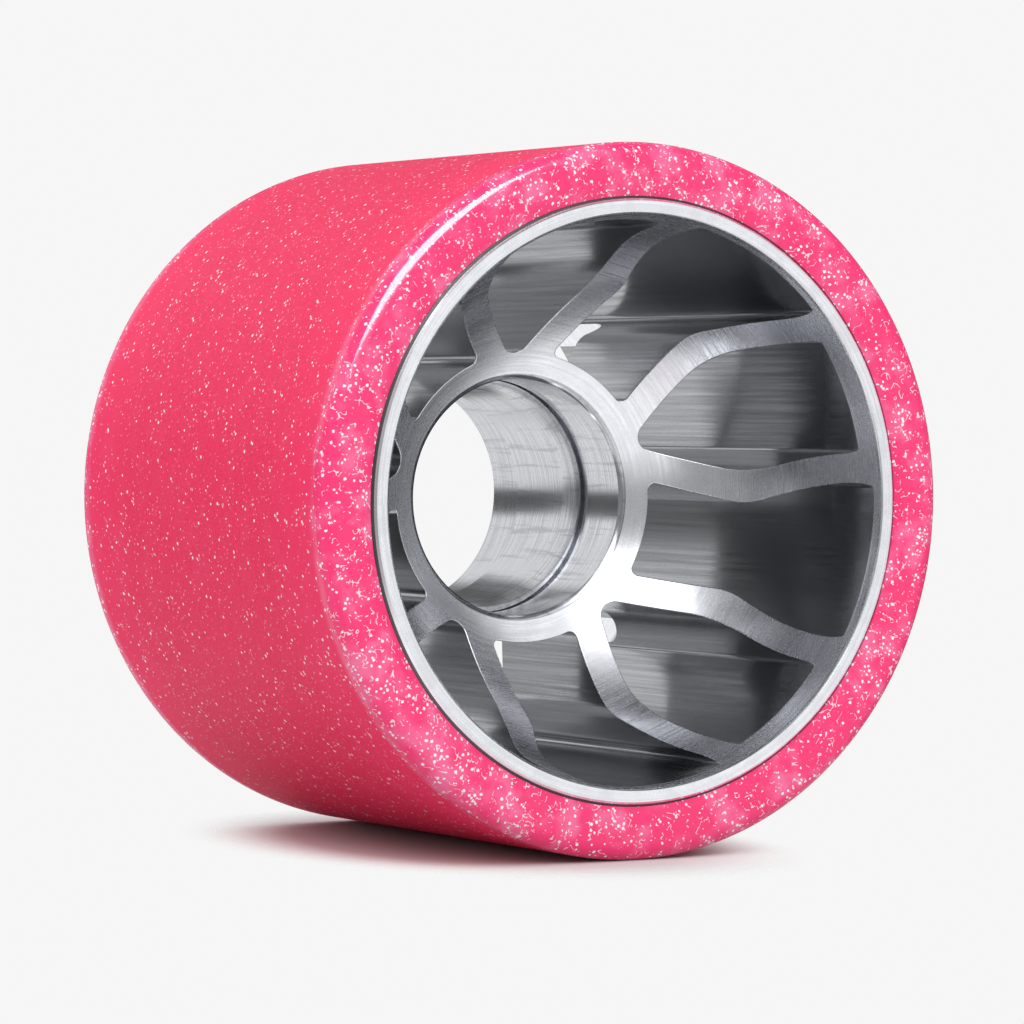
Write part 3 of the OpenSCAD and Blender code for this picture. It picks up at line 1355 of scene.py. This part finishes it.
@dataclass
class Studio:
    """Pale floor with a painted shadow under the wheel, even background and soft lamps."""

    key: Lamp = Lamp("key", (-0.27, -0.74, 0.58), (0.46, 0.38), 1.3)
    strip: Lamp = Lamp("strip", (-0.22, -0.69, 0.69), (0.52, 0.32), 16.0)
    white: float = 0.922
    fill: Point = (0.66, 0.92)
    fill_span: Point = (-0.6, 0.9)
    wall: float = 0.36
    wall_foot: Point = (-0.05, -0.30)
    paper: Point = (0.95, 1.05)
    paper_span: Point = (0.3, -0.8)
    cards: tuple[Card, ...] = (
        Card("overhead", 90, 72, 20, 38, 0.12),
        Card("right", 96, 8, 28, 42, 0.10),
        Card("low_left", -55, -10, 12, 24, 0.32),
        Card("left_back", -158, 26, 20, 30, 1.05),
        Card("left_low", -158, -20, 14, 24, 1.05),
        Card("right_back", 150, 4, 18, 34, 0.15),
        Card("front_fill", 18, 40, 20, 40, 1.0),
        Card("front_white", 30, 0, 9, 18, 0.95),
        Card("dark_gap", -150, 4, 3, 9, 0.09),
    )
    floor_r: float = 0.3
    floor_rough: float = 0.9
    bounce_grey: Colour = (0.5, 0.5, 0.5, 1.0)
    # Painted shadow: the floor's grey under the wheel and away from it, over the span of distances below.
    shadow_grey: Point = (0.4, 0.9)
    shadow_span: Point = (0.2, 0.9)
    shadow_middle: Triple = (-0.003, -0.002, 0.0)
    shadow_size: Triple = (0.025, 0.042, 1.0)
    reach: Point = (0.6, 1.0)
    fade_span: Point = (0.6, 1.0)

    def build(self, tyre: bpy.types.Object) -> None:
        """Makes the floor, the background and the lamps.

        Args:
            tyre: The one piece that the strip lamp shines on.
        """
        self.world()
        self.floor()
        self.key.build()
        strip = self.strip.build()
        lit = bpy.data.collections.new("strip_light")
        lit.objects.link(tyre)
        strip.light_linking.receiver_collection = lit
        strip.visible_diffuse = False

    def world(self) -> None:
        """Makes a background that is pale to the eye, and a dimmer room in reflections and as fill."""
        world = bpy.data.worlds.new("studio")
        bpy.context.scene.world = world
        world.use_nodes = True
        tree = Tree(world.node_tree)
        tree.tree.nodes.clear()
        rays = tree.add("ShaderNodeLightPath").outputs
        way = tree.add("ShaderNodeTexCoord").outputs["Generated"]
        _, back, up = tree.add("ShaderNodeSeparateXYZ", Vector=way).outputs
        paper = tree.ramp(back, *self.paper_span, *self.paper)
        room = tree.mix(tree.ramp(up, *self.wall_foot), self.wall, paper)
        for card in self.cards:
            room = card.over(tree, way, room)
        level = tree.mix(rays["Is Glossy Ray"], tree.ramp(up, *self.fill_span, *self.fill), room)
        direct = tree.math("MAXIMUM", rays["Is Camera Ray"], rays["Is Transmission Ray"])
        level = tree.mix(direct, level, self.white)
        sky = tree.add("ShaderNodeBackground", Color=(1, 1, 1, 1), Strength=level)
        tree.add("ShaderNodeOutputWorld", Surface=sky.outputs[0])

    def floor(self) -> None:
        """Makes the floor under the tread, which fades into the background."""
        shape = bmesh.new()
        bmesh.ops.create_circle(shape, cap_ends=True, radius=self.floor_r, segments=96)
        mesh = bpy.data.meshes.new("floor")
        shape.to_mesh(mesh)
        shape.free()
        floor = bpy.data.objects.new("floor", mesh)
        floor.location.z = CAD_BOX[0].z
        bpy.context.scene.collection.objects.link(floor)
        mesh.materials.append(self.paper_material())

    def paper_material(self) -> bpy.types.Material:
        """Makes the floor's paper, whose colour is darker under the wheel as a painted shadow, and which is
        clear far from it.

        Returns:
            The finished material.
        """
        material, tree, shader = shader_tree("floor_paper")
        place = tree.add("ShaderNodeTexCoord").outputs["Object"]
        rays = tree.add("ShaderNodeLightPath").outputs
        near = tree.add(
            "ShaderNodeMapping",
            {"vector_type": "TEXTURE"},
            Vector=place,
            Location=self.shadow_middle,
            Scale=self.shadow_size,
        )
        away = tree.length(near.outputs[0])
        # Painted shadow: the floor that the camera sees grows darker towards the wheel.
        shown = tree.ramp(away, *self.shadow_span, *self.shadow_grey)
        shade = tree.blend(rays["Is Diffuse Ray"], shown, self.bounce_grey)
        tree.fill(shader, Base_Color=shade, Roughness=self.floor_rough)
        reach = tree.times(away, tree.ramp(rays["Is Camera Ray"], 0.0, 1.0, *self.reach))
        edge = tree.ramp(reach, *self.fade_span)
        clear = tree.add("ShaderNodeBsdfTransparent").outputs[0]
        mixed = tree.add("ShaderNodeMixShader", i0=edge, i1=shader.outputs[0], i2=clear)
        tree.fill(tree.tree.nodes["Material Output"], Surface=mixed.outputs[0])
        return material


@dataclass
class PhotoCamera:
    """Camera at the photograph's angle, fitted to the wheel's outline."""

    azimuth: float = -29.6
    elevation: float = 1.2
    distance: float = 0.451
    focal_px: float = 4830.0
    middle_px: Point = (503.7, 496.5)
    sensor: float = 36.0

    def build(self) -> None:
        """Makes the camera and gives it to the scene."""
        data = bpy.data.cameras.new("photo_camera")
        data.sensor_width = self.sensor
        data.lens = self.focal_px * self.sensor / PHOTO_PIXELS
        data.shift_x = (PHOTO_PIXELS / 2 - self.middle_px[0]) / PHOTO_PIXELS
        data.shift_y = (self.middle_px[1] - PHOTO_PIXELS / 2) / PHOTO_PIXELS
        data.clip_start, data.clip_end = 0.01, 20.0
        camera = bpy.data.objects.new("photo_camera", data)
        back = towards(self.azimuth, self.elevation)
        camera.location = back * self.distance
        camera.rotation_mode = "QUATERNION"
        camera.rotation_quaternion = (-back).to_track_quat("-Z", "Y")
        bpy.context.scene.collection.objects.link(camera)
        bpy.context.scene.camera = camera


METALS = (
    MetalFinish("turned_aluminium", pale=0.99, dark=0.86, rough=0.25, anisotropy=0.5,
                mark_mm=0.22, relief=0.15, clouds=0.6),
    # Drawn grain along the axis; the low pale and dark levels are painted shade in the pockets.
    MetalFinish("drawn_aluminium", pale=0.44, dark=0.27, rough=0.18, anisotropy=0.9,
                mark_mm=0.35, relief=0.15, around=False),
    MetalFinish("bored_aluminium", pale=0.70, dark=0.44, rough=0.15, anisotropy=0.5,
                mark_mm=0.20, relief=0.3, streaks=1.0),
    # Primer under the tyre; its dark levels at the lip's chamfer are painted shade of the gap between lip and
    # tyre.
    MetalFinish("primed_aluminium", pale=0.16, dark=0.10, rough=0.45, anisotropy=0.3,
                mark_mm=0.22, relief=0.3),
)


def main() -> None:
    """Builds the wheel, the studio and the camera."""
    logging.basicConfig(level=logging.INFO, format="%(name)s: %(message)s")
    bpy.context.scene.view_settings.view_transform = "Standard"
    PhotoCamera().build()
    hub = Hub().build(tuple(finish.material() for finish in METALS))
    tyre = Tyre().build(UrethaneFinish().material())
    Studio().build(tyre)
    for piece in (hub, tyre):
        LOG.info("%s has %d faces", piece.name, len(piece.data.polygons))


if __name__ == "__main__":
    main()
